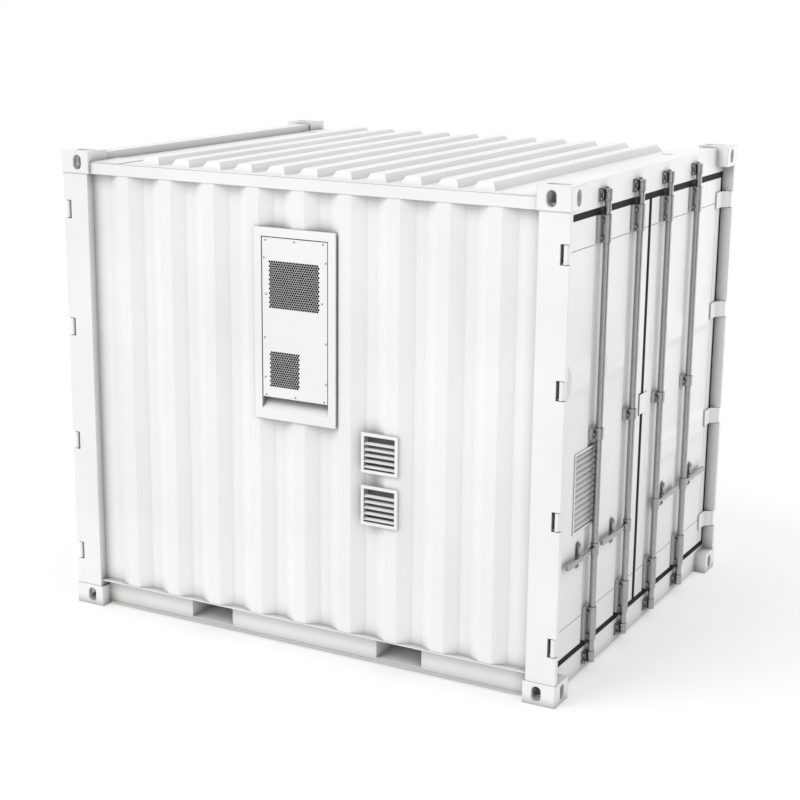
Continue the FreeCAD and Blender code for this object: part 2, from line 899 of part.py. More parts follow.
def lock_bar(y):
    shaft = end_rod(bar_radius, bar_from_end, y, bar_bottom, bar_top)
    hub_low = handle_z - hub_height / 2
    hub = end_rod(hub_radius, bar_from_end, y, hub_low, hub_low + hub_height)
    inner = handle_thickness / 2 + handle_side_gap
    pivot_y = y - handle_pivot
    shapes = [shaft, hub] + cam(y, bottom_keeper_z) + cam(y, top_keeper_z)
    for side in (-1, 1):
        u0 = bar_from_end + (inner if side > 0 else -inner - ear_thickness)
        ear = end_box(u0, u0 + ear_thickness, pivot_y, y,
                      handle_z - ear_height / 2, handle_z + ear_height / 2)
        tip = rod(ear_height / 2, (half_length - u0 - ear_thickness, pivot_y, handle_z),
                  (1, 0, 0), ear_thickness)
        shapes += [ear, tip]
    solid = joined(shapes)
    low = (bar_from_end - inner - ear_thickness)
    pin = rod(handle_pin_radius, (half_length - low - 2 * (inner + ear_thickness), pivot_y,
                                  handle_z), (1, 0, 0), 2 * (inner + ear_thickness))
    return joined([solid, pin])


def handle(y):
    half = handle_thickness / 2
    x0 = half_length - bar_from_end - half
    pivot_y = y - handle_pivot
    root = rod(handle_root_radius, (x0, pivot_y, handle_z), (1, 0, 0), handle_thickness)
    neck_end = y - grip_start
    neck = box(x0, x0 + handle_thickness, neck_end, pivot_y,
               handle_z - handle_neck / 2, handle_z + handle_neck / 2)
    grip_radius = handle_grip / 2
    tip_y = y - handle_length + grip_radius
    wide_y = neck_end + (tip_y - neck_end) / 3
    half_neck = handle_neck / 2
    swell = [(neck_end, -half_neck), (wide_y, -grip_radius), (tip_y, -grip_radius),
             (tip_y, grip_radius), (wide_y, grip_radius), (neck_end, half_neck)]
    grip = prism([(x0, along, handle_z + rise) for along, rise in swell], (handle_thickness, 0, 0))
    tip = rod(grip_radius, (x0, tip_y, handle_z), (1, 0, 0), handle_thickness)
    solid = joined([root, neck, grip, tip])
    bore = rod(handle_pin_radius + pin_clearance, (x0, pivot_y, handle_z), (1, 0, 0),
               handle_thickness)
    return solid.cut(bore)


def catch(y):
    # A hanging tongue behind the handle, free to swing on its pin.
    centre = y - catch_offset
    front = door_recess - retainer_plate - catch_gap
    x0 = half_length - front
    z = catch_pivot_z
    r = catch_width / 2
    eye = rod(r, (x0, centre, z), (1, 0, 0), catch_thickness)
    blade = [(x0, centre - r, z), (x0, centre - r * 0.55, z - catch_length),
             (x0, centre + r * 0.55, z - catch_length), (x0, centre + r, z)]
    solid = joined([eye, prism(blade, (catch_thickness, 0, 0))])
    return solid.cut(rod(catch_pin_radius + pin_clearance, (x0, centre, z), (1, 0, 0),
                         catch_thickness))


def cam_keeper(y, middle):
    # Plate on the beam with a cheek each side of the cam, open to the front.
    z0 = middle - keeper_height / 2
    z1 = middle + keeper_height / 2
    back = door_recess
    front = back - keeper_plate
    plate = end_box(front, back, y - keeper_half, y + keeper_half, z0, z1)
    inner = cam_lobe + keeper_cheek_gap
    cheeks = [end_box(front - keeper_cheek_reach, front, y0, y0 + keeper_cheek, z0, z1)
              for y0 in (y - inner - keeper_cheek, y + inner)]
    return joined([plate] + cheeks)


def cam_keepers():
    return [placed(cam_keeper(-bar_y, z), x_side, y_side)
            for x_side in (-1, 1) for y_side in (-1, 1) for bar_y in bar_ys
            for z in (bottom_keeper_z, top_keeper_z)]


def ac_frame():
    # A flat frame, with a ledge that slopes up from its lower bar to behind the cover.
    half = ac_width / 2
    front = crest_inset - ac_frame_thickness - half_width
    back = crest_inset - half_width
    frame = box(ac_centre - half, ac_centre + half, front, back, ac_bottom, ac_top)
    frame = frame.cut(ac_opening(front, back))
    low = ac_bottom + ac_frame_bottom
    high = ac_inner()[2] - ac_ledge_gap
    deep = front + ac_ledge_depth
    section = [(front, low), (back, low), (deep, high - ac_sheet), (deep, high),
               (front, low + ac_sheet)]
    ledge = prism([(ac_left, y, z) for y, z in section], (ac_right - ac_left, 0, 0))
    return joined([frame, ledge])


def ac_inner():
    # The outline that the cover and the casing behind it share.
    return (ac_left + ac_cover_clearance, ac_right - ac_cover_clearance,
            ac_bottom + ac_frame_bottom + ac_cover_clearance + ac_cover_gap,
            ac_top - ac_frame_top - ac_cover_clearance)


def ac_front():
    return crest_inset - ac_frame_thickness + ac_cover_recess - half_width


def window(edges):
    return (ac_centre + edges[0], ac_centre + edges[1], ac_bottom + edges[2], ac_bottom + edges[3])


def ac_cover():
    x0, x1, low, high = ac_inner()
    front = ac_front()
    back = front + ac_cover_thickness
    cover = box(x0, x1, front, back, low, high)
    plates = []
    for a, b, c, d in (window(upper_window_edges), window(lower_window_edges)):
        cover = cover.cut(box(a, b, front, back, c, d))
        plates.append(box(a, b, back - window_plate, back, c, d))
    return joined([cover] + plates)


def ac_housing():
    # Sheet casing behind the cover, closed at the back, with its drip tray.
    x0, x1, low, high = ac_inner()
    front = ac_front() + ac_cover_thickness
    back = front + ac_depth
    sheet = ac_sheet
    case = box(x0, x1, front, back, low, high)
    case = case.cut(box(x0 + sheet, x1 - sheet, front, back - sheet, low + sheet, high - sheet))
    shelf_z = (window(lower_window_edges)[3] + window(upper_window_edges)[2]) / 2
    shelf = box(x0 + sheet, x1 - sheet, front, back - sheet, shelf_z, shelf_z + sheet)
    seat = lining_inner - half_width
    flange = box(ac_left - ac_flange, ac_right + ac_flange, seat, seat + sheet,
                 ac_bottom + ac_frame_bottom - ac_flange, ac_top - ac_frame_top + ac_flange)
    flange = flange.cut(box(x0, x1, seat, seat + sheet, low, high))
    return joined([case, shelf, flange]), shelf_z


def fan_centre():
    left, right, low, high = window(upper_window_edges)
    return (left + right) / 2, (low + high) / 2


def ac_condenser():
    # Casing, fan motor on its bracket, compressor and finned coil.
    case, shelf_z = ac_housing()
    x, z = fan_centre()
    x0, x1, low, high = ac_inner()
    sheet = ac_sheet
    hub_back = ac_front() + fan_from_cover + fan_hub_length
    motor = rod(motor_radius, (x, hub_back + motor_gap, z), (0, 1, 0), motor_length)
    motor_back = hub_back + motor_gap + motor_length
    bracket = box(x - motor_radius, x + motor_radius, motor_back, motor_back + sheet,
                  shelf_z + sheet, high - sheet)
    shaft = rod(fan_shaft_radius, (x, hub_back - fan_hub_length / 2, z), (0, 1, 0),
                fan_hub_length / 2 + motor_gap)
    coil_front = motor_back + 2 * motor_radius
    coil_low = shelf_z + sheet
    fin_pitch = coil_width / coil_fins
    coil_left = x - coil_width / 2
    core = box(coil_left, coil_left + coil_width, coil_front + coil_fin_depth,
               coil_front + coil_depth, coil_low, coil_low + coil_height)
    fins = [box(coil_left + i * fin_pitch, coil_left + (i + 0.5) * fin_pitch, coil_front,
                coil_front + coil_fin_depth, coil_low, coil_low + coil_height)
            for i in range(coil_fins)]
    left, right = window(lower_window_edges)[:2]
    foot = ((left + right) / 2, ac_front() + 2 * compressor_radius, low + sheet)
    compressor = rod(compressor_radius, foot, (0, 0, 1), compressor_height)
    r = compressor_radius
    dome = Part.makeSphere(r).common(Part.makeBox(2 * r, 2 * r, r, Vec(-r, -r, 0)))
    dome.translate(Vec(*foot) + Vec(0, 0, compressor_height))
    return [case, joined([motor, shaft]), bracket, joined([core] + fins),
            joined([compressor, dome])]


def ac_fan():
    x, z = fan_centre()
    front = ac_front() + fan_from_cover
    hub = rod(fan_hub_radius, (0, 0, 0), (0, 1, 0), fan_hub_length)
    shapes = [hub]
    for i in range(fan_blades):
        blade = Part.makeBox(fan_blade_width, fan_blade_thickness, fan_radius - fan_hub_radius / 2,
                             Vec(-fan_blade_width / 2, -fan_blade_thickness / 2,
                                 fan_hub_radius / 2))
        blade.rotate(Vec(0, 0, 0), Vec(0, 0, 1), fan_blade_tilt)
        blade.translate(Vec(0, fan_hub_length / 2, 0))
        blade.rotate(Vec(0, 0, 0), Vec(0, 1, 0), 360.0 / fan_blades * i)
        shapes.append(blade)
    rotor = joined(shapes).common(rod(fan_radius, (0, -fan_hub_length, 0), (0, 1, 0),
                                      3 * fan_hub_length))
    socket = rod(fan_shaft_radius + pin_clearance, (0, fan_hub_length / 2 - 1, 0), (0, 1, 0),
                 fan_hub_length / 2 + 1)
    rotor = rotor.cut(socket)
    rotor.translate(Vec(x, front, z))
    return rotor


def wall_louvre(bottom):
    # A box frame through the wall, its flange on the crests, with sloping blades.
    left = louvre_left
    right = left + louvre_width
    top = bottom + louvre_height
    front = louvre_front - half_width
    crest = crest_inset - half_width
    back = lining_inner - half_width
    inner = louvre_border - louvre_face
    border = louvre_border
    flange = box(left, right, front, crest, bottom, top)
    sleeve = box(left + inner, right - inner, front, back, bottom + inner, top - inner)
    frame = flange.fuse(sleeve).removeSplitter()
    frame = frame.cut(box(left + border, right - border, front, back,
                          bottom + border, top - border))
    room = box(left + border, right - border, front, back, bottom + border, top - border)
    pitch = (louvre_height - 2 * border - wall_slat_head) / wall_louvre_slats
    rise = wall_slat_width * math.sin(math.radians(slat_tilt))
    solids = [frame]
    for i in range(wall_louvre_slats):
        blade = slat(louvre_width - 2 * border, wall_slat_width)
        low = bottom + border + i * pitch + (pitch - rise) / 2
        blade.translate(Vec(left + border, front + 1, low))
        solids.append(blade.common(room))
    return solids


def rack_lefts():
    total = rack_count * rack_width + (rack_count - 1) * rack_gap
    return [-total / 2 + i * (rack_width + rack_gap) for i in range(rack_count)]


def rack_back():
    return half_width - lining_inner


def battery_rack(left):
    back = rack_back()
    front = back - rack_depth
    right = left + rack_width
    low = deck_top
    high = low + rack_height
    shapes = []
    for x0 in (left, right - rack_post):
        for y0 in (front, back - rack_post):
            shapes.append(box(x0, x0 + rack_post, y0, y0 + rack_post, low, high))
    for i in range(module_rows + 1):
        z0 = low + i * module_pitch
        shapes.append(box(left, right, front, back, z0, z0 + rack_shelf))
    return joined(shapes)


def battery_modules():
    solids = []
    back = rack_back()
    front = back - rack_depth
    for left in rack_lefts():
        for i in range(module_rows):
            low = deck_top + i * module_pitch + rack_shelf
            x0 = left + rack_post + module_side_gap
            x1 = left + rack_width - rack_post - module_side_gap
            case = box(x0, x1, front + module_front_gap, back - rack_post, low,
                       low + module_height)
            middle = (x0 + x1) / 2
            grip_low = low + module_height * 0.72
            grip = box(middle - module_handle / 2, middle + module_handle / 2,
                       front + module_front_gap, front + 3 * module_front_gap,
                       grip_low, grip_low + module_height / 8)
            solids.append(case.cut(grip))
    return solids


def power_cabinets():
    # The inverter stands behind the wall louvres, the distribution board hangs on the wall.
    back = lining_inner - half_width
    solids = []
    for left, size_x, depth, low, high in (
            (inverter_left, inverter_width, inverter_depth, deck_top, deck_top + inverter_height),
            (board_left, board_width, board_depth, board_bottom, board_bottom + board_height)):
        body = box(left, left + size_x, back, back + depth, low, high)
        front = back + depth
        step = cabinet_door
        door = box(left + step, left + size_x - step, front, front + cabinet_door,
                   low + step, high - step)
        solids += [body, door]
    return solids


def fire_suppression():
    # Gas bottle on the floor with a pipe to a nozzle line under the ceiling.
    y = lining_inner + bottle_radius + lining_gap - half_width
    base = deck_top
    bottle = rod(bottle_radius, (bottle_x, y, base), (0, 0, 1), bottle_height)
    neck = Part.makeCone(bottle_radius, pipe_radius, bottle_neck,
                         Vec(bottle_x, y, base + bottle_height), Vec(0, 0, 1))
    pipe_z = ceiling_bottom - nozzle_height
    start = base + bottle_height + bottle_neck
    riser = rod(pipe_radius, (bottle_x, y, start), (0, 0, 1), pipe_z - start)
    head = rod(nozzle_radius, (bottle_x, y, pipe_z), (0, 0, 1), nozzle_height)
    run = rod(pipe_radius, (bottle_x, y, pipe_z + nozzle_height / 2), (0, 1, 0), -y)
    nozzle = rod(nozzle_radius, (bottle_x, 0, pipe_z), (0, 0, 1), nozzle_height)
    return joined([bottle, neck, riser, head, run, nozzle])


def save_frame():
    posts = corner_post()
    pins = [hinge_pin(level) for level in hinge_levels]
    corners = [(x_side, y_side) for x_side in (-1, 1) for y_side in (-1, 1)]
    save("corner_castings", corner_fittings())
    save("corner_posts", [placed(posts, *corner) for corner in corners])
    save("hinge_pins", [placed(pin, *corner) for corner in corners for pin in pins])
    save("bottom_side_rails", [placed(bottom_side_rail(), 1, side) for side in (-1, 1)])
    save("top_side_rails", [placed(top_side_rail(), 1, side) for side in (-1, 1)])
    save("door_headers", [placed(door_header(), side, -1) for side in (-1, 1)])
    save("door_sills", [placed(door_sill(), side, -1) for side in (-1, 1)])
    save("roof_panel", roof_panel())
    save("side_walls", side_walls())
    save("floor_crossmembers", crossmembers())
    save("forklift_pockets", [forklift_pocket(centre) for centre in pocket_centres()])
    save("floor_deck", floor_deck())
    save("wall_lining", wall_lining())
    save("cam_keepers", cam_keepers())
    save("wall_louvres", wall_louvre(upper_louvre_bottom) + wall_louvre(lower_louvre_bottom))


def save_equipment():
    save("ac_frame", ac_frame())
    save("ac_cover", ac_cover())
    save("ac_condenser", ac_condenser())
    save("ac_fan", ac_fan())
    save("battery_racks", [battery_rack(left) for left in rack_lefts()])
    save("battery_modules", battery_modules())
    save("power_cabinets", power_cabinets())
    save("fire_suppression", fire_suppression())


def save_doors():
    # Opposite corners are alike: one leaf of each end has the tongue, the other the notch.
    for end_name, x_side in (("left", -1), ("right", 1)):
        for side_name, y_side in (("front", -1), ("back", 1)):
            name = end_name + "_" + side_name
            has_tongue = x_side * y_side > 0
            has_louvre = x_side > 0 and y_side < 0
            leaf = door_leaf(has_tongue, has_louvre)
            save(name + "_door", [placed(s, x_side, y_side) for s in leaf])
            save(name + "_seal", placed(door_seal(has_tongue), x_side, y_side))
            save(name + "_fittings", [placed(s, x_side, y_side) for s in door_fittings()])
            for place_name, bar_y in (("inner", inner_bar_y), ("outer", outer_bar_y)):
                gear = name + "_" + place_name
                save(gear + "_bar", placed(lock_bar(-bar_y), x_side, y_side))
                save(gear + "_handle", placed(handle(-bar_y), x_side, y_side))
                save(gear + "_catch", placed(catch(-bar_y), x_side, y_side))
    save("door_louvre", door_louvre())


save_frame()
save_equipment()
save_doors()
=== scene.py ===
import json
import math

import bpy
from mathutils import Matrix, Vector


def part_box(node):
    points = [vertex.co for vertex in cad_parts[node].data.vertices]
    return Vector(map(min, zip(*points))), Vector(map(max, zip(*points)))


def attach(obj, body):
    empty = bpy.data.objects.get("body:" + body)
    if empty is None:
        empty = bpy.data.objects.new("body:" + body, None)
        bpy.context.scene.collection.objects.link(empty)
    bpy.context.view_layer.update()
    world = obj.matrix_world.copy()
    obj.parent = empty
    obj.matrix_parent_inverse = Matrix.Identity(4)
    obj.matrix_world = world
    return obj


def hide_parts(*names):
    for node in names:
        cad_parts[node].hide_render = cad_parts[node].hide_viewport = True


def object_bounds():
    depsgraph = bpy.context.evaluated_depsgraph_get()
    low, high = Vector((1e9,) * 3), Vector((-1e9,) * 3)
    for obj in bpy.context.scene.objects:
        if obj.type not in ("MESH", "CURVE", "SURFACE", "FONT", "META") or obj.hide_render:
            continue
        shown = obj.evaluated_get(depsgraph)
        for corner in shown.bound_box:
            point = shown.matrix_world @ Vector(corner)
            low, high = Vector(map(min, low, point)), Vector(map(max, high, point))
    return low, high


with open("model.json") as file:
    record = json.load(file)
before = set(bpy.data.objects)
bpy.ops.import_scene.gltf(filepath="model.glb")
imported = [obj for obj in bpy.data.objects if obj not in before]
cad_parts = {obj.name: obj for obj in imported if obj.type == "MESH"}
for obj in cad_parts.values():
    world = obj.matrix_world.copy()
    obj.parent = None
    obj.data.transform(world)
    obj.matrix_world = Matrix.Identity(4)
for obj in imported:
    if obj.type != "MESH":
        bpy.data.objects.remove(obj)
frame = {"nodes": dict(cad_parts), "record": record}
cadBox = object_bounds()
print("frame loaded:", len(frame["nodes"]), "nodes")

mm = 0.001


# Small helpers for materials

edgeSamples = 4
cornerShading = {"samples": 6, "closed": 0.08, "open": 0.96}
noiseMiddle = (0.3, 0.7)  # most of a noise texture's values lie between these


def addNode(tree, kind, inputs=None, **settings):
    made = tree.nodes.new(kind)
    for name, value in settings.items():
        setattr(made, name, value)
    for name, value in (inputs or {}).items():
        if isinstance(value, bpy.types.NodeSocket):
            tree.links.new(value, made.inputs[name])
        else:
            made.inputs[name].default_value = value
    return made


def hexColour(code):
    channels = [int(code[i:i + 2], 16) / 255 for i in (1, 3, 5)]
    linear = [c / 12.92 if c <= 0.04045 else ((c + 0.055) / 1.055) ** 2.4 for c in channels]
    return (*linear, 1.0)


def newMaterial(name):
    material = bpy.data.materials.new(name)
    material.use_nodes = True
    tree = material.node_tree
    tree.nodes.clear()
    coords = addNode(tree, "ShaderNodeTexCoord").outputs["Object"]
    return material, tree, coords


def closeMaterial(tree, settings):
    shader = addNode(tree, "ShaderNodeBsdfPrincipled", settings)
    addNode(tree, "ShaderNodeOutputMaterial", {"Surface": shader.outputs["BSDF"]})


def patternScale(sizeMm):
    return 1000 / sizeMm  # textures repeat once per unit, and a unit is a metre


def noise(tree, coords, sizeMm, detail=2.0):
    return addNode(tree, "ShaderNodeTexNoise",
                   {"Vector": coords, "Scale": patternScale(sizeMm), "Detail": detail}).outputs["Fac"]


def stretched(tree, coords, shares):
    return addNode(tree, "ShaderNodeMapping", {"Vector": coords, "Scale": shares}).outputs["Vector"]


def span(tree, value, low, high, fromLow=0.0, fromHigh=1.0):
    return addNode(tree, "ShaderNodeMapRange",
                   {"Value": value, "From Min": fromLow, "From Max": fromHigh,
                    "To Min": low, "To Max": high}).outputs["Result"]


def unevenGloss(tree, pattern, v):
    # The roughness wanders between a smoother and a rougher place.
    return span(tree, pattern, v["roughness"] - v["smoother"], v["roughness"] + v["rougher"], *noiseMiddle)


def blendColours(tree, factor, first, second):
    mix = addNode(tree, "ShaderNodeMix", data_type="RGBA")
    tree.links.new(factor, mix.inputs[0])
    for socket, value in ((mix.inputs[6], first), (mix.inputs[7], second)):
        if isinstance(value, bpy.types.NodeSocket):
            tree.links.new(value, socket)
        else:
            socket.default_value = value
    return mix.outputs[2]


def twoTones(tree, pattern, contrast, first, second):
    return blendColours(tree, span(tree, pattern, 0, 1, *contrast), hexColour(first), hexColour(second))


def paintedCornerShade(tree, paint, v):
    # Painted shade: the colour darkens towards a grey where ambient occlusion finds a place closed in, such
    # as seams, sockets, troughs and inner corners.
    s = cornerShading
    openness = addNode(tree, "ShaderNodeAmbientOcclusion", {"Distance": v["paintedShadeReachMm"] * mm},
                   samples=s["samples"]).outputs["AO"]
    return blendColours(tree, span(tree, openness, 1, 0, s["closed"], s["open"]), paint, hexColour(v["paintedShade"]))


def softEdges(tree, radiusMm):
    bevel = addNode(tree, "ShaderNodeBevel", {"Radius": radiusMm * mm}, samples=edgeSamples)
    return bevel.outputs["Normal"]


def bump(tree, height, depthMm, normal=None):
    inputs = {"Height": height, "Distance": depthMm * mm, "Strength": 1.0}
    if normal is not None:
        inputs["Normal"] = normal
    return addNode(tree, "ShaderNodeBump", inputs).outputs["Normal"]


def fineGrain(tree, coords, v):
    grain = noise(tree, coords, v["grainMm"], detail=1)
    return bump(tree, grain, v["grainDepthMm"], softEdges(tree, v["edgeMm"]))


# Materials

# paintedShade is the grey that closed-in places darken to, as painted shade, and paintedShadeReachMm is how
# far the occlusion looks.
containerPaint = {"colour": "#f2f2f1", "shade": "#ebebea", "cloudMm": 900, "cloudContrast": (0.35, 0.65),
                  "paintedShade": "#77756f", "paintedShadeReachMm": 85, "edgeMm": 4.0, "ior": 1.5,
                  "roughness": 0.42, "smoother": 0.05, "rougher": 0.05, "glossMm": 260,
                  "orangePeelMm": 9, "peelDepthMm": 0.05}
# On the castings the painted shade is darker and looks less far, so their sockets come out dark.
castingPaint = {"paintedShade": "#5c5a56", "paintedShadeReachMm": 60, "edgeMm": 9.0, "sandMm": 5, "sandDepthMm": 0.35}


def polyurethanePaint(name="polyurethane_paint", cast=None):
    # Sprayed two-part coat on steel: an even, slightly soft gloss with fine orange peel.
    # Over a sand casting the skin of the metal shows through it and the edges are rounder.
    v = containerPaint
    under = cast or v
    material, tree, coords = newMaterial(name)
    clouds = noise(tree, coords, v["cloudMm"], detail=3)
    tint = twoTones(tree, clouds, v["cloudContrast"], v["colour"], v["shade"])
    # Painted shade in the troughs, seams and corners of the paint.
    tint = paintedCornerShade(tree, tint, under)
    rough = unevenGloss(tree, noise(tree, coords, v["glossMm"]), v)
    normal = softEdges(tree, under["edgeMm"])
    if cast:
        normal = bump(tree, noise(tree, coords, cast["sandMm"], detail=3), cast["sandDepthMm"], normal)
    normal = bump(tree, noise(tree, coords, v["orangePeelMm"], detail=1), v["peelDepthMm"], normal)
    closeMaterial(tree, {"Base Color": tint, "Roughness": rough, "IOR": v["ior"], "Normal": normal})
    return material


zincCoat = {"dark": "#a3a4a5", "light": "#adafaf", "paintedShade": "#3c3b39", "paintedShadeReachMm": 14,
            "smoothest": 0.28, "roughest": 0.38, "spangleMm": 14,
            "grainMm": 2.0, "grainDepthMm": 0.03, "edgeMm": 1.5}


def galvanisedSteel():
    # Hot-dip zinc: crystals about a centimetre wide, each a slightly different grey and gloss.
    v = zincCoat
    material, tree, coords = newMaterial("galvanised_steel")
    spangle = addNode(tree, "ShaderNodeTexVoronoi",
                      {"Vector": coords, "Scale": patternScale(v["spangleMm"])}).outputs["Color"]
    crystal = addNode(tree, "ShaderNodeSeparateColor", {"Color": spangle}).outputs["Red"]
    tint = blendColours(tree, crystal, hexColour(v["dark"]), hexColour(v["light"]))
    rough = span(tree, crystal, v["smoothest"], v["roughest"])
    normal = fineGrain(tree, coords, v)
    # The zinc also carries painted shade: it darkens towards a near-black grey where it is closed in.
    closeMaterial(tree, {"Base Color": paintedCornerShade(tree, tint, v), "Metallic": 1.0,
                         "Roughness": rough, "Normal": normal})
    return material


sealRubber = {"colour": "#0a0a0b", "dust": "#131314", "dustMm": 60, "dustContrast": (0.45, 0.75),
              "roughness": 0.7, "ior": 1.52, "specular": 0.25,
              "grainMm": 3, "grainDepthMm": 0.08, "edgeMm": 2.0}


def epdmRubber():
    # Extruded EPDM: nearly black and matt, with a little dust.
    v = sealRubber
    material, tree, coords = newMaterial("epdm_rubber")
    dust = noise(tree, coords, v["dustMm"], detail=4)
    tint = twoTones(tree, dust, v["dustContrast"], v["colour"], v["dust"])
    normal = fineGrain(tree, coords, v)
    closeMaterial(tree, {"Base Color": tint, "Roughness": v["roughness"], "IOR": v["ior"],
                         "Specular IOR Level": v["specular"], "Normal": normal})
    return material


bitumenCoat = {"colour": "#121213", "worn": "#1e1d1b", "wearMm": 120, "wearContrast": (0.5, 0.7),
               "roughness": 0.75, "brushMm": 18, "brushDepthMm": 0.5}


def bitumenPaint():
    # Thick brushed bitumen under the floor: black, uneven and dull.
    v = bitumenCoat
    material, tree, coords = newMaterial("bitumen_paint")
    wear = noise(tree, coords, v["wearMm"], detail=4)
    tint = twoTones(tree, wear, v["wearContrast"], v["colour"], v["worn"])
    normal = bump(tree, noise(tree, coords, v["brushMm"], detail=3), v["brushDepthMm"])
    closeMaterial(tree, {"Base Color": tint, "Roughness": v["roughness"], "Normal": normal})
    return material


plywoodFloor = {"light": "#9a6f45", "dark": "#6d4526", "contrast": (0.12, 0.4),
                "roughness": 0.45, "ior": 1.5, "grainMm": 7, "grainDepthMm": 0.15,
                "toneMm": 152.5, "alongGrain": (0.06, 1.0, 1.0)}  # eight tones across a 1220 mm sheet


def sealedPlywood():
    # Varnished hardwood plywood: long grain along the room and a satin gloss.
    v = plywoodFloor
    material, tree, coords = newMaterial("sealed_plywood")
    along = stretched(tree, coords, v["alongGrain"])
    grain = noise(tree, along, v["grainMm"], detail=5)
    tone = noise(tree, along, v["toneMm"], detail=1)
    both = addNode(tree, "ShaderNodeMath", {0: grain, 1: tone}, operation="MULTIPLY").outputs[0]
    tint = twoTones(tree, both, v["contrast"], v["dark"], v["light"])
    closeMaterial(tree, {"Base Color": tint, "Roughness": v["roughness"], "IOR": v["ior"],
                         "Normal": bump(tree, grain, v["grainDepthMm"])})
    return material


coatedPanel = {"colour": "#dddfe0", "roughness": 0.5, "ior": 1.5, "stuccoMm": 11, "depthMm": 0.3}


def stuccoPanel():
    # Sandwich panel with embossed, coated aluminium faces.
    v = coatedPanel
    material, tree, coords = newMaterial("stucco_coated_panel")
    stucco = addNode(tree, "ShaderNodeTexVoronoi", {"Vector": coords, "Scale": patternScale(v["stuccoMm"])},
                     feature="SMOOTH_F1").outputs["Distance"]
    closeMaterial(tree, {"Base Color": hexColour(v["colour"]), "Roughness": v["roughness"],
                         "IOR": v["ior"], "Normal": bump(tree, stucco, v["depthMm"])})
    return material


millSheet = {"light": "#c4c6c8", "dark": "#a0a3a6", "roughness": 0.36, "smoother": 0.06, "rougher": 0.08,
             "rollingMm": 2.5, "alongRolling": (1.0, 1.0, 0.03), "rollingDepthMm": 0.03, "edgeMm": 1.0}


def rolledAluminium():
    # Mill-finish sheet: faint rolling lines along one way.
    v = millSheet
    material, tree, coords = newMaterial("rolled_aluminium")
    lines = noise(tree, stretched(tree, coords, v["alongRolling"]), v["rollingMm"], detail=2)
    tint = twoTones(tree, lines, noiseMiddle, v["dark"], v["light"])
    closeMaterial(tree, {"Base Color": tint, "Metallic": 1.0, "Roughness": unevenGloss(tree, lines, v),
                         "Normal": bump(tree, lines, v["rollingDepthMm"], softEdges(tree, v["edgeMm"]))})
    return material


mouldedFan = {"colour": "#1f2022", "roughness": 0.45, "smoother": 0.05, "rougher": 0.08, "glossMm": 40,
              "ior": 1.53, "grainMm": 1.5, "grainDepthMm": 0.05, "edgeMm": 1.5}


def mouldedNylon():
    # Injection-moulded black nylon with a fine spark-eroded grain.
    v = mouldedFan
    material, tree, coords = newMaterial("moulded_nylon")
    rough = unevenGloss(tree, noise(tree, coords, v["glossMm"]), v)
    normal = fineGrain(tree, coords, v)
    closeMaterial(tree, {"Base Color": hexColour(v["colour"]), "Roughness": rough, "IOR": v["ior"],
                         "Normal": normal})
    return material


powderColours = {"rack_paint": ("#3a3d40", "#46494c"), "module_case": ("#55595d", "#606468"),
                 "cabinet_paint": ("#c9cbc8", "#d2d4d1")}
powderFinish = {"leatherMm": 4, "contrast": (0.4, 0.6), "depthMm": 0.08, "edgeMm": 2.0, "ior": 1.5,
                "roughness": 0.47, "smoother": 0.05, "rougher": 0.05, "glossMm": 200}


def powderCoat(slot):
    # Baked powder on sheet steel: a fine leathery texture and a satin gloss.
    v = powderFinish
    material, tree, coords = newMaterial("powder_coat_" + slot)
    leather = noise(tree, coords, v["leatherMm"], detail=2)
    tint = twoTones(tree, leather, v["contrast"], *powderColours[slot])
    rough = unevenGloss(tree, noise(tree, coords, v["glossMm"]), v)
    closeMaterial(tree, {"Base Color": tint, "Roughness": rough, "IOR": v["ior"],
                         "Normal": bump(tree, leather, v["depthMm"], softEdges(tree, v["edgeMm"]))})
    return material


bottleEnamel = {"colour": "#a3161a", "faded": "#b02a26", "fadedMm": 180, "contrast": (0.35, 0.65),
                "roughness": 0.22, "ior": 1.5, "rippleMm": 14, "rippleDepthMm": 0.05}


def glossEnamel():
    # Red gloss enamel on a steel bottle and its pipe.
    v = bottleEnamel
    material, tree, coords = newMaterial("gloss_enamel")
    fading = noise(tree, coords, v["fadedMm"], detail=3)
    tint = twoTones(tree, fading, v["contrast"], v["colour"], v["faded"])
    normal = bump(tree, noise(tree, coords, v["rippleMm"], detail=1), v["rippleDepthMm"])
    closeMaterial(tree, {"Base Color": tint, "Roughness": v["roughness"], "IOR": v["ior"],
                         "Normal": normal})
    return material


filterFoam = {"colour": "#0b0b0c", "roughness": 0.95, "ior": 1.45, "specular": 0.1,
              "cellMm": 3.0, "cellDepthMm": 1.0}


def reticulatedFoam():
    # Open-cell filter foam, nearly black so that hardly any light comes back: behind the cover's holes this
    # black is painted shade as well as a filter.
    v = filterFoam
    material, tree, coords = newMaterial("reticulated_foam")
    cells = addNode(tree, "ShaderNodeTexVoronoi", {"Vector": coords, "Scale": patternScale(v["cellMm"])},
                    feature="F2").outputs["Distance"]
    closeMaterial(tree, {"Base Color": hexColour(v["colour"]), "Roughness": v["roughness"],
                         "IOR": v["ior"], "Specular IOR Level": v["specular"],
                         "Normal": bump(tree, cells, v["cellDepthMm"])})
    return material


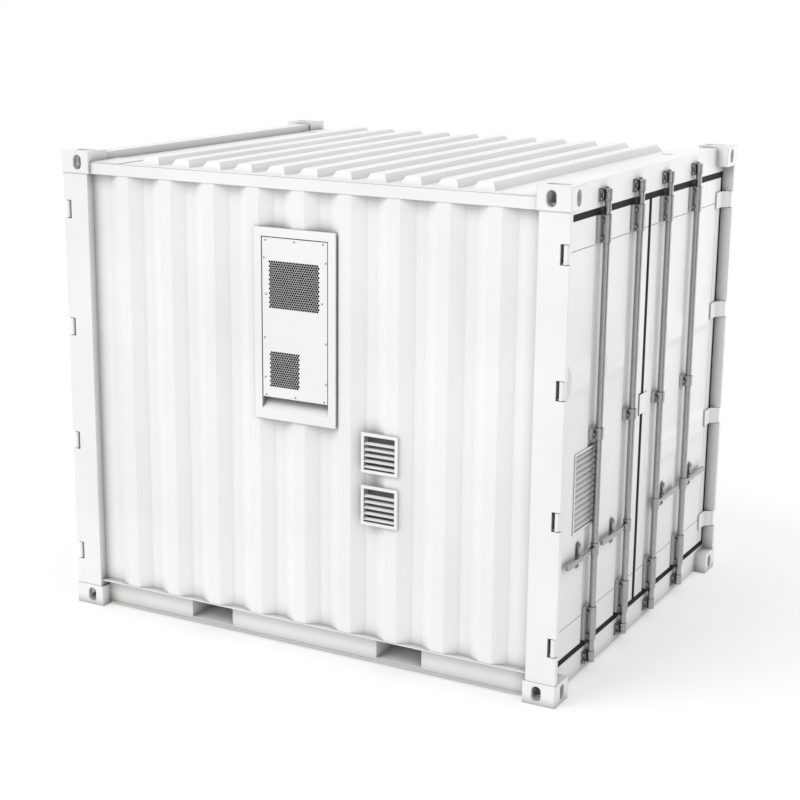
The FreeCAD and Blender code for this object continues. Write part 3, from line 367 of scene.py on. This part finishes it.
def dressNodes():
    finishes = {
        "container_paint": polyurethanePaint(), "floor_steel": bitumenPaint(),
        "galvanised_steel": galvanisedSteel(), "seal_rubber": epdmRubber(),
        "floor_plywood": sealedPlywood(), "lining_panel": stuccoPanel(),
        "cooler_sheet": rolledAluminium(), "fan_plastic": mouldedNylon(),
        "bottle_paint": glossEnamel(),
    }
    for slot in powderColours:
        finishes[slot] = powderCoat(slot)
    for part in frame["record"]["subparts"]:
        mesh = frame["nodes"][part["node"]].data
        mesh.materials.clear()
        mesh.materials.append(finishes[part["material_slot"]])
    castPaint = polyurethanePaint("painted_cast_steel", castingPaint)
    frame["nodes"]["corner_castings"].data.materials[0] = castPaint
    # The pockets are painted like the rails that they end in, not like the floor beams.
    frame["nodes"]["forklift_pockets"].data.materials[0] = finishes["container_paint"]
    return finishes


finishes = dressNodes()
print("materials on all nodes")


# Modelling helpers

smoothAngle = 35  # degrees between faces, above which an edge stays sharp
alongX = (0, math.pi / 2, 0)
alongY = (math.pi / 2, 0, 0)


def deselectAll():
    if bpy.context.mode != "OBJECT":
        bpy.ops.object.mode_set(mode="OBJECT")
    bpy.ops.object.select_all(action="DESELECT")


def pick(*objects):
    deselectAll()
    for obj in objects:
        obj.select_set(True)
    bpy.context.view_layer.objects.active = objects[0]


def joinAll(name, objects):
    pick(*objects)
    if len(objects) > 1:
        bpy.ops.object.join()
    made = bpy.context.view_layer.objects.active
    made.name = name
    made.data.name = name
    return made


def settle(obj):
    # The place goes into the mesh, so that the object itself sits at the origin.
    pick(obj)
    bpy.ops.object.transform_apply(location=True, rotation=True, scale=True)


def applyModifiers(obj):
    pick(obj)
    for modifier in list(obj.modifiers):
        bpy.ops.object.modifier_apply(modifier=modifier.name)


def copyOf(obj, move=(0, 0, 0), turnZ=0.0):
    made = obj.copy()
    made.data = obj.data.copy()
    bpy.context.collection.objects.link(made)
    made.data.transform(Matrix.Translation(Vector(move)) @ Matrix.Rotation(turnZ, 4, "Z"))
    return made


def finishPiece(obj, body, slot):
    settle(obj)
    bpy.ops.object.shade_smooth_by_angle(angle=math.radians(smoothAngle))
    obj.data.materials.clear()
    obj.data.materials.append(finishes[slot])
    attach(obj, body)
    return obj


def plate(name, low, high):
    deselectAll()
    centre = [(a + b) / 2 for a, b in zip(low, high)]
    bpy.ops.mesh.primitive_cube_add(size=1, location=centre)
    made = bpy.context.object
    made.name = name
    made.scale = [b - a for a, b in zip(low, high)]
    settle(made)
    return made


def rod(sides, radius, length, place, turn):
    deselectAll()
    bpy.ops.mesh.primitive_cylinder_add(vertices=sides, radius=radius * mm, depth=length * mm,
                                        location=place, rotation=turn)
    made = bpy.context.object
    settle(made)
    return made


def roundOff(obj, width, segments, sharperThan):
    edge = obj.modifiers.new("edge", "BEVEL")
    edge.width = width * mm
    edge.segments = segments
    edge.limit_method = "ANGLE"
    edge.angle_limit = math.radians(sharperThan)
    applyModifiers(obj)


# Cover of the cooling unit

coolerCover = {"holePitch": 13.6, "holeRadius": 6.4, "holeSides": 12, "drillLength": 30,
               "upperWindow": (-174, 145.5, 1857.5, 2105.5), "lowerWindow": (-172, 12.5, 1441, 1631)}


def holeTools(window, v, y):
    # Drills in staggered rows, each row half a pitch across from the one below.
    left, right, bottom, top = window
    pitch = v["holePitch"]
    rowRise = pitch * math.sqrt(3) / 2
    across = int((right - left - pitch / 2) // pitch)
    rows = int((top - bottom) // rowRise)
    tools = []
    for shift in (0, 1):
        place = ((left + pitch * (1 + shift) / 2) * mm, y, (bottom + rowRise * (0.5 + shift)) * mm)
        tool = rod(v["holeSides"], v["holeRadius"], v["drillLength"], place, alongY)
        for count, offset in ((across, (pitch * mm, 0, 0)),
                              ((rows + 1 - shift) // 2, (0, 0, 2 * rowRise * mm))):
            repeat = tool.modifiers.new("repeat", "ARRAY")
            repeat.count = count
            repeat.use_relative_offset = False
            repeat.use_constant_offset = True
            repeat.constant_offset_displace = offset
        applyModifiers(tool)
        tools.append(tool)
    return tools


def makeCoolerCover():
    v = coolerCover
    low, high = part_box("ac_cover")
    cover = plate("cooler_cover", low, high)
    tools = []
    for window in (v["upperWindow"], v["lowerWindow"]):
        tools += holeTools(window, v, (low.y + high.y) / 2)
    drill = joinAll("drill", tools)
    cut = cover.modifiers.new("holes", "BOOLEAN")
    cut.operation = "DIFFERENCE"
    cut.object = drill
    cut.solver = "EXACT"
    applyModifiers(cover)
    bpy.data.objects.remove(drill)
    finishPiece(cover, "container", "container_paint")
    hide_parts("ac_cover")


makeCoolerCover()
print("cooler cover drilled")


# Mats behind the cover's windows and in the wall louvres, each place left, right, bottom and top. Their dark
# colours are painted shade for the holes and gaps in front of them, on mats that a real cooler and louvre
# also have.

filterMats = {"thick": 9.0, "rim": 8.0, "dish": 3.0, "gap": 0.3, "slotDepth": 48.0,
              "slots": ((397, 574, 1076, 1252), (397, 574, 797, 973))}


def makeMat(low, high):
    # A mat in a thin rim: the front face is inset and pressed in.
    v = filterMats
    mat = plate("mat", low, high)
    bpy.ops.object.mode_set(mode="EDIT")
    bpy.ops.mesh.select_mode(type="FACE")
    bpy.ops.mesh.select_all(action="DESELECT")
    bpy.ops.object.mode_set(mode="OBJECT")
    for face in mat.data.polygons:
        face.select = face.normal.y < -0.9
    bpy.ops.object.mode_set(mode="EDIT")
    bpy.ops.mesh.inset(thickness=v["rim"] * mm)
    bpy.ops.transform.translate(value=(0, v["dish"] * mm, 0))
    bpy.ops.object.mode_set(mode="OBJECT")
    return mat


def makeMats(name, places, front, slot):
    back = front + filterMats["thick"] * mm
    mats = [makeMat((left * mm, front, bottom * mm), (right * mm, back, top * mm))
            for left, right, bottom, top in places]
    return finishPiece(joinAll(name, mats), "container", slot)


def makeFilters():
    v = filterMats
    windows = (coolerCover["upperWindow"], coolerCover["lowerWindow"])
    # The foam behind the cover's windows is near black, as painted shade for the holes.
    foam = makeMats("cooler_shade_filters", windows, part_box("ac_cover")[1].y + v["gap"] * mm, "fan_plastic")
    foam.data.materials[0] = reticulatedFoam()
    # The louvre screens are dark grey sheets behind the slats: painted shade for the deep gaps between them.
    makeMats("louvre_shade_screens", v["slots"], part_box("wall_louvres")[0].y + v["slotDepth"] * mm, "module_case")


makeFilters()
print("filters behind the grilles")


# Screws of the cover, each place across and up

coverScrews = {"radius": 3.6, "height": 2.0, "crown": 1.4, "sides": 20, "washer": 5.2, "washerHeight": 0.8,
               "places": ((-192, 2209), (-19, 2210), (153, 2211), (-202.5, 2116.5), (168, 2117),
                          (-191, 1927.5), (147, 1908), (-200, 1700), (170, 1702),
                          (-198, 1488), (169, 1490), (-194, 1396), (-15, 1398), (157, 1395))}


def makeScrew(y):
    # Pan head with a rounded crown on a thin washer, pointing out of the wall.
    v = coverScrews
    head = rod(v["sides"], v["radius"], v["height"], (0, y - v["height"] / 2 * mm, 0), alongY)
    roundOff(head, v["crown"], segments=3, sharperThan=60)
    washer = rod(v["sides"], v["washer"], v["washerHeight"],
                 (0, y - v["washerHeight"] / 2 * mm, 0), alongY)
    return joinAll("screw", [head, washer])


def makeCoverScrews():
    screw = makeScrew(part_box("ac_cover")[0].y)
    copies = [copyOf(screw, (x * mm, 0, z * mm)) for x, z in coverScrews["places"]]
    bpy.data.objects.remove(screw)
    finishPiece(joinAll("cooler_cover_screws", copies), "container", "galvanised_steel")


makeCoverScrews()
print("cover screws in")


# Bolts of the door gear

gearBolt = {"head": 9.0, "headHeight": 6.0, "edge": 0.9, "washer": 12.0, "washerHeight": 2.0,
            "washerSides": 24}


def makeBolt():
    # Hexagon head on a washer, its axis along X and its seat at the origin.
    v = gearBolt
    seatToMiddle = v["washerHeight"] + v["headHeight"] / 2
    head = rod(6, v["head"], v["headHeight"], (seatToMiddle * mm, 0, 0), alongX)
    roundOff(head, v["edge"], segments=2, sharperThan=30)
    washer = rod(v["washerSides"], v["washer"], v["washerHeight"],
                 (v["washerHeight"] / 2 * mm, 0, 0), alongX)
    return joinAll("bolt", [head, washer])


# A seat is how far a bolted face lies in from the end of the container.
boltPlaces = {"guideFoot": 35.0, "guideSeat": 54.0, "guideEnd": 26.0,
              "guides": ((177, 355), (1259.5, 1317.5), (2262, 2400)), "oneRowBelow": 104.0,
              "keeperSide": 48.0, "keeperSeat": 60.0, "keeperRise": 19.0, "keepers": (80, 2498),
              "retainerShift": 168.0, "retainerSeat": 61.0, "retainerLow": 630.0, "toBarLine": 22.0}


def barLine(door, place):
    low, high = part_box("%s_%s_bar" % (door, place))
    side = 1 if low.y > 0 else -1
    wide = high.y if side < 0 else low.y  # the plain side of the bar, away from its handle
    return wide + side * boltPlaces["toBarLine"] * mm, side


def guideRows(bottom, top):
    # A long guide has a row of bolts near each end, and a short one has one row in its middle.
    v = boltPlaces
    if top - bottom < v["oneRowBelow"]:
        return ((bottom + top) / 2,)
    return (bottom + v["guideEnd"], top - v["guideEnd"])


def doorBolts(door, bolt):
    v = boltPlaces
    end = 1 if door.startswith("right") else -1
    turn = 0 if end > 0 else math.pi
    onDoor, onFrame = [], []

    def boltAt(seat, y, z):
        return copyOf(bolt, (end * (cadBox[1].x - seat * mm), y, z * mm), turn)

    for place in ("inner", "outer"):
        y, side = barLine(door, place)
        for bottom, top in v["guides"]:
            for z in guideRows(bottom, top):
                onDoor += [boltAt(v["guideSeat"], y + across * v["guideFoot"] * mm, z)
                           for across in (-1, 1)]
        onDoor.append(boltAt(v["retainerSeat"], y + side * v["retainerShift"] * mm, v["retainerLow"]))
        for z in v["keepers"]:
            for rise in (-v["keeperRise"], v["keeperRise"]):
                onFrame += [boltAt(v["keeperSeat"], y + across * v["keeperSide"] * mm, z + rise)
                            for across in (-1, 1)]
    finishPiece(joinAll(door + "_bolts", onDoor), door + "_door", "galvanised_steel")
    return onFrame


def makeGearBolts():
    bolt = makeBolt()
    onFrame = []
    for door in ("right_front", "right_back", "left_front", "left_back"):
        onFrame += doorBolts(door, bolt)
    bpy.data.objects.remove(bolt)
    finishPiece(joinAll("keeper_bolts", onFrame), "container", "galvanised_steel")


makeGearBolts()
print("gear bolts in")


# Floor, light and camera

studioFloor = {"size": 900, "colour": "#fbfbfb", "bounce": "#f2f2f2", "glow": 0.45}


def seenAsBackground(tree):
    # 1 for a ray from the camera, a mirror or glass, and 0 for light that falls on the object.
    path = addNode(tree, "ShaderNodeLightPath").outputs
    mirrored = addNode(tree, "ShaderNodeMath", {0: path["Is Glossy Ray"], 1: path["Is Transmission Ray"]},
                       operation="MAXIMUM").outputs[0]
    return addNode(tree, "ShaderNodeMath", {0: path["Is Camera Ray"], 1: mirrored},
                   operation="MAXIMUM").outputs[0]


def makeFloor():
    v = studioFloor
    deselectAll()
    bpy.ops.mesh.primitive_plane_add(size=v["size"], location=(0, 0, cadBox[0].z))
    floor = bpy.context.object
    floor.name = "floor"
    material = bpy.data.materials.new("studio_floor")
    material.use_nodes = True
    tree = material.node_tree
    tree.nodes.clear()
    # Where it is only looked at, the floor is partly a lit white card, so its shadow stays pale.
    seen = seenAsBackground(tree)
    tone = blendColours(tree, seen, hexColour(v["bounce"]), hexColour(v["colour"]))
    lit = addNode(tree, "ShaderNodeBsdfDiffuse", {"Color": tone})
    card = addNode(tree, "ShaderNodeEmission", {"Color": (1, 1, 1, 1), "Strength": 1.0})
    look = addNode(tree, "ShaderNodeMixShader", {0: span(tree, seen, 0, v["glow"]),
                                                 1: lit.outputs["BSDF"], 2: card.outputs["Emission"]})
    addNode(tree, "ShaderNodeOutputMaterial", {"Surface": look.outputs["Shader"]})
    floor.data.materials.append(material)


keyLamp = {"strength": 1.15, "softness": 35, "azimuth": -36, "elevation": 48}


def addKeyLamp():
    v = keyLamp
    deselectAll()
    turn = (math.radians(90 - v["elevation"]), 0, math.radians(v["azimuth"]))
    bpy.ops.object.light_add(type="SUN", rotation=turn)
    sun = bpy.context.object
    sun.name = "key"
    sun.data.energy = v["strength"]
    sun.data.angle = math.radians(v["softness"])


sideLamp = {"power": 24, "size": 3.0, "place": (3.4, 3.4, 2.0), "aim": (1.5, 0.3, 1.2)}


def addSideLamp():
    v = sideLamp
    deselectAll()
    bpy.ops.object.light_add(type="AREA", location=v["place"])
    lamp = bpy.context.object
    lamp.name = "side"
    lamp.data.energy = v["power"]
    lamp.data.size = v["size"]
    lamp.rotation_euler = (Vector(v["place"]) - Vector(v["aim"])).to_track_quat("Z", "Y").to_euler()


darkCard = {"wide": 1.5, "tall": 3.6, "reach": 4.6, "azimuth": 80, "tone": "#202020", "roughness": 0.95}


def addFlag():
    # A dark card beside the doors: only the bare metal mirrors it, which gives the round bars a line.
    v = darkCard
    deselectAll()
    turn = math.radians(v["azimuth"])
    place = (v["reach"] * math.sin(turn), -v["reach"] * math.cos(turn), v["tall"] / 2)
    bpy.ops.mesh.primitive_plane_add(size=1, rotation=(math.pi / 2, 0, turn), location=place)
    flag = bpy.context.object
    flag.name = "flag"
    flag.scale = (v["wide"], v["tall"], 1)
    settle(flag)
    material, tree, coords = newMaterial("flag_cloth")
    closeMaterial(tree, {"Base Color": hexColour(v["tone"]), "Roughness": v["roughness"]})
    flag.data.materials.append(material)
    flag.visible_camera = flag.visible_diffuse = flag.visible_shadow = False


skyStrength = 0.80


def makeLight():
    world = bpy.data.worlds.new("studio")
    bpy.context.scene.world = world
    world.use_nodes = True
    tree = world.node_tree
    tree.nodes.clear()
    level = span(tree, seenAsBackground(tree), skyStrength, 1.0)
    sky = addNode(tree, "ShaderNodeBackground", {"Color": (1, 1, 1, 1), "Strength": level})
    addNode(tree, "ShaderNodeOutputWorld", {"Surface": sky.outputs["Background"]})
    addKeyLamp()
    addSideLamp()
    addFlag()


photoView = {"azimuth": 28.60, "elevation": 14.12, "roll": 0.58,
             "place": (4.537, -8.430, 3.535), "focalPixels": 1694.6, "pictureWidth": 800,
             "sensor": 36.0, "clipEnd": 2000}


def makeCamera():
    v = photoView
    data = bpy.data.cameras.new("camera")
    data.sensor_width = v["sensor"]
    data.lens = v["sensor"] * v["focalPixels"] / v["pictureWidth"]
    data.clip_end = v["clipEnd"]
    camera = bpy.data.objects.new("camera", data)
    bpy.context.scene.collection.objects.link(camera)
    turn = (Matrix.Rotation(math.radians(v["azimuth"]), 4, "Z")
            @ Matrix.Rotation(math.radians(90 - v["elevation"]), 4, "X")
            @ Matrix.Rotation(math.radians(v["roll"]), 4, "Z"))
    camera.matrix_world = Matrix.Translation(Vector(v["place"])) @ turn
    bpy.context.scene.camera = camera


makeFloor()
makeLight()
makeCamera()
bpy.context.scene.view_settings.view_transform = "Standard"
print("studio ready")
